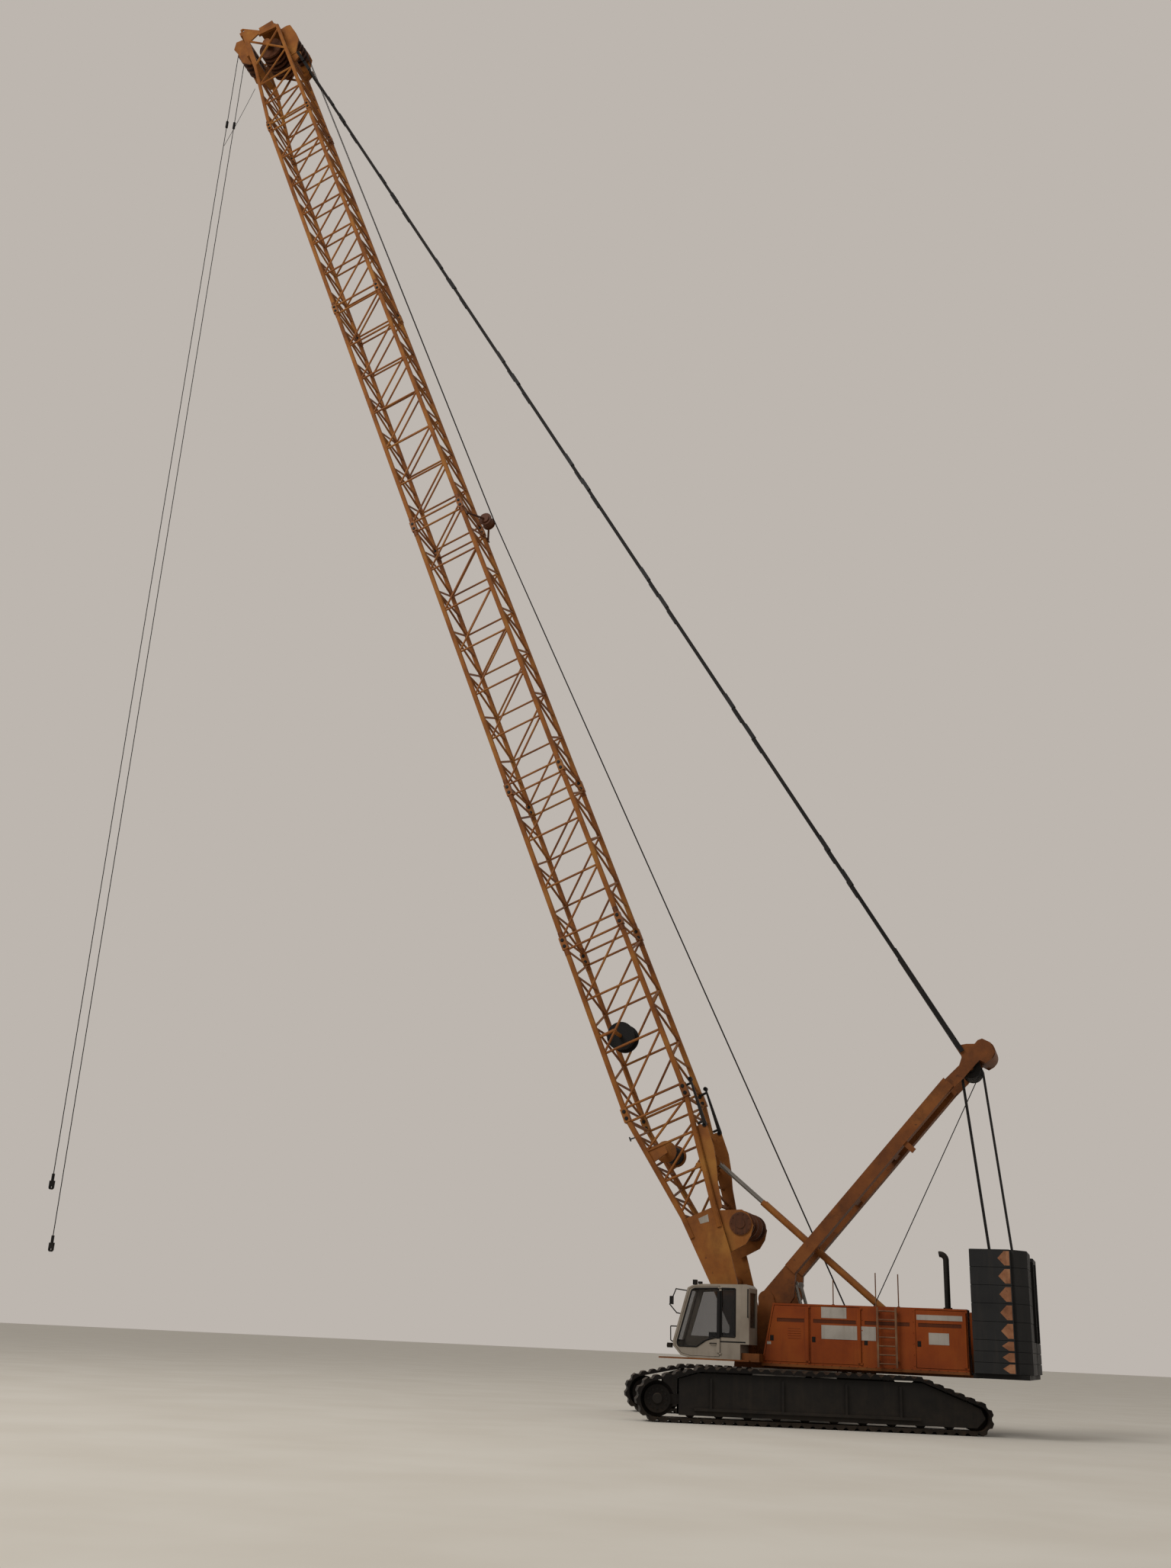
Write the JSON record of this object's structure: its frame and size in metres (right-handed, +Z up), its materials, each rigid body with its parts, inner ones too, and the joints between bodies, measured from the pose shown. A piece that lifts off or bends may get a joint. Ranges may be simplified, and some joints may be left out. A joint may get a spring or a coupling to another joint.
{
  "type": "crawler crane scale model",
  "caption": "1:2 scale model of a crawler crane: lattice boom on stays and a mast, slewing upper works with cab, housings, winches and stacked ballast, on two tracks.",
  "frame": {"origin": "on the ground at the slewing axis", "axes": "+Z up, -X towards the boom's side of the upper works, -Y towards the cab"},
  "size_m": [16.6065, 4.9008, 30.5978],
  "materials": {
    "boom_paint": "weathered orange paint",
    "housing_paint": "satin orange paint",
    "cab_paint": "satin cream paint",
    "ballast_paint": "matt dark grey paint",
    "track_steel": "worn dark steel",
    "frame_paint": "dusty dark grey paint",
    "machined_steel": "oiled bright steel",
    "dark_steel": "greasy dark steel",
    "rope_steel": "greased wire rope",
    "ladder_paint": "chalky grey paint",
    "cab_window": "tinted glass",
    "seat_plastic": "matt dark plastic"
  },
  "bodies": {
    "undercarriage": {"car_body": "frame_paint", "crawler_frames": "frame_paint", "track_wheels": "track_steel", "track_loop_left": "track_steel", "track_loop_right": "track_steel", "slewing_ring": "machined_steel"},
    "superstructure": {"deck_frame": "boom_paint", "housing_left": "housing_paint", "housing_right": "housing_paint", "engine_block": "dark_steel", "roof_ladder": "ladder_paint", "exhaust_pipe": "dark_steel", "cab_shell": "cab_paint", "cab_glass": "cab_window", "cab_seat": "seat_plastic", "cab_platform": "boom_paint", "cab_fittings": "dark_steel", "ballast_tray": "frame_paint", "slabs_left": "ballast_paint", "slabs_right": "ballast_paint", "luff_block": "boom_paint"},
    "cab_door": {"cab_door": "cab_paint", "door_glass": "cab_window"},
    "luff_drum": {"luff_winch": "dark_steel"},
    "hoist_drum": {"hoist_winch": "dark_steel"},
    "block_wheels": {"block_sheaves": "dark_steel"},
    "boom": {"boom_foot_section": "boom_paint", "boom_short_lower": "boom_paint", "boom_short_upper": "boom_paint", "boom_long_lower": "boom_paint", "boom_long_middle": "boom_paint", "boom_long_upper": "boom_paint", "boom_head": "boom_paint", "rope_guide": "boom_paint", "tip_mast": "dark_steel", "stays": "rope_steel"},
    "front_wheels": {"front_sheaves": "dark_steel"},
    "main_wheels": {"main_sheaves": "dark_steel"},
    "back_wheels": {"back_sheaves": "dark_steel"},
    "boom_drum": {"boom_winch": "dark_steel"},
    "tag_drum": {"tag_winch": "dark_steel"},
    "reel": {"cable_reel": "dark_steel"},
    "mast": {"mast_legs": "boom_paint"},
    "mast_wheels": {"mast_sheaves": "dark_steel"},
    "backstop_tubes": {"backstop_tubes": "boom_paint"},
    "backstop_rods": {"backstop_rods": "machined_steel"},
    "mast_jack_tubes": {"mast_jack_tubes": "dark_steel"},
    "mast_jack_rods": {"mast_jack_rods": "machined_steel"},
    "hoist_lines": {"hoist_ropes": "rope_steel"},
    "door_left_front": {"door_left_front": "housing_paint"},
    "door_left_middle": {"door_left_middle": "housing_paint"},
    "door_left_rear": {"door_left_rear": "housing_paint"},
    "door_right_front": {"door_right_front": "housing_paint"},
    "door_right_middle": {"door_right_middle": "housing_paint"},
    "door_right_rear": {"door_right_rear": "housing_paint"}
  },
  "joints": [
    {"name": "slew", "type": "hinge", "parent": "undercarriage", "child": "superstructure", "pos_m": [0, 0, 0.706], "axis": [0, 0, 1], "continuous": true},
    {"name": "boom_luff", "type": "hinge", "parent": "superstructure", "child": "boom", "pos_m": [-0.625, 0, 1.055], "axis": [0, 1, 0], "range_deg": [-42.4, 15.6]},
    {"name": "mast_luff", "type": "hinge", "parent": "superstructure", "child": "mast", "pos_m": [-0.335, 0, 1.635], "axis": [0, 1, 0], "range_deg": [-47.6, 17.6]},
    {"name": "backstop_tilt", "type": "hinge", "parent": "superstructure", "child": "backstop_tubes", "pos_m": [1.666, 0, 1.245], "axis": [0, 1, 0], "range_deg": [-23.2, 8.6]},
    {"name": "backstop_slide", "type": "slide", "parent": "backstop_tubes", "child": "backstop_rods", "axis": [-0.768, 0, 0.6404], "range_m": [-0.376, 1.02]},
    {"name": "mast_jack_tilt", "type": "hinge", "parent": "superstructure", "child": "mast_jack_tubes", "pos_m": [0.33, 0, 0.9], "axis": [0, 1, 0], "range_deg": [-7.8, 2.9]},
    {"name": "mast_jack_slide", "type": "slide", "parent": "mast_jack_tubes", "child": "mast_jack_rods", "axis": [-0.2692, 0, 0.9631], "range_m": [-0.121, 0.329]},
    {"name": "hoist_hang", "type": "hinge", "parent": "boom", "child": "hoist_lines", "pos_m": [-12.90753, 0, 29.2608], "axis": [0, 1, 0], "range_deg": [-15.6, 42.4]},
    {"name": "cab_door_swing", "type": "hinge", "parent": "superstructure", "child": "cab_door", "pos_m": [-0.819, -1.184, 1], "axis": [0, 0, 1], "range_deg": [0, 85]},
    {"name": "door_left_front_swing", "type": "hinge", "parent": "superstructure", "child": "door_left_front", "pos_m": [0.361, -0.839, 1.2], "axis": [0, 0, 1], "range_deg": [0, 80]},
    {"name": "door_left_middle_swing", "type": "hinge", "parent": "superstructure", "child": "door_left_middle", "pos_m": [1.081, -0.839, 1.2], "axis": [0, 0, 1], "range_deg": [0, 80]},
    {"name": "door_left_rear_swing", "type": "hinge", "parent": "superstructure", "child": "door_left_rear", "pos_m": [2.501, -0.839, 1.2], "axis": [0, 0, 1], "range_deg": [0, 80]},
    {"name": "door_right_front_swing", "type": "hinge", "parent": "superstructure", "child": "door_right_front", "pos_m": [0.361, 0.839, 1.2], "axis": [0, 0, -1], "range_deg": [0, 80]},
    {"name": "door_right_middle_swing", "type": "hinge", "parent": "superstructure", "child": "door_right_middle", "pos_m": [1.081, 0.839, 1.2], "axis": [0, 0, -1], "range_deg": [0, 80]},
    {"name": "door_right_rear_swing", "type": "hinge", "parent": "superstructure", "child": "door_right_rear", "pos_m": [2.501, 0.839, 1.2], "axis": [0, 0, -1], "range_deg": [0, 80]},
    {"name": "luff_winch_turn", "type": "hinge", "parent": "superstructure", "child": "luff_drum", "pos_m": [2.15, 0, 1.18], "axis": [0, 1, 0], "continuous": true},
    {"name": "hoist_winch_turn", "type": "hinge", "parent": "superstructure", "child": "hoist_drum", "pos_m": [0.76, 0, 1.12], "axis": [0, 1, 0], "continuous": true},
    {"name": "block_sheaves_turn", "type": "hinge", "parent": "superstructure", "child": "block_wheels", "pos_m": [3.06, 0, 1.42], "axis": [0, 1, 0], "continuous": true},
    {"name": "front_sheaves_turn", "type": "hinge", "parent": "boom", "child": "front_wheels", "pos_m": [-12.90753, 0, 29.2608], "axis": [0, 1, 0], "continuous": true},
    {"name": "main_sheaves_turn", "type": "hinge", "parent": "boom", "child": "main_wheels", "pos_m": [-12.17758, 0, 29.12055], "axis": [0, 1, 0], "continuous": true},
    {"name": "back_sheaves_turn", "type": "hinge", "parent": "boom", "child": "back_wheels", "pos_m": [-11.6983, 0, 29.24423], "axis": [0, 1, 0], "continuous": true},
    {"name": "boom_winch_turn", "type": "hinge", "parent": "boom", "child": "boom_drum", "pos_m": [-0.68829, 0, 2.66425], "axis": [0, 1, 0], "continuous": true},
    {"name": "tag_winch_turn", "type": "hinge", "parent": "boom", "child": "tag_drum", "pos_m": [-1.90638, 0, 3.71698], "axis": [0, 1, 0], "continuous": true},
    {"name": "cable_reel_turn", "type": "hinge", "parent": "boom", "child": "reel", "pos_m": [-2.7519, 0, 5.55305], "axis": [0, 1, 0], "continuous": true},
    {"name": "mast_sheaves_turn", "type": "hinge", "parent": "mast", "child": "mast_wheels", "pos_m": [2.68308, 0, 4.93314], "axis": [0, 1, 0], "continuous": true}
  ],
  "couplings": [
    {"joint": "mast_luff", "follows": "boom_luff", "ratio": 1.12},
    {"joint": "backstop_tilt", "follows": "boom_luff", "ratio": 0.545},
    {"joint": "backstop_slide", "follows": "boom_luff", "m_per_rad": -1.375},
    {"joint": "mast_jack_tilt", "follows": "boom_luff", "ratio": 0.183},
    {"joint": "mast_jack_slide", "follows": "boom_luff", "m_per_rad": -0.4436},
    {"joint": "hoist_hang", "follows": "boom_luff", "ratio": -1}
  ]
}
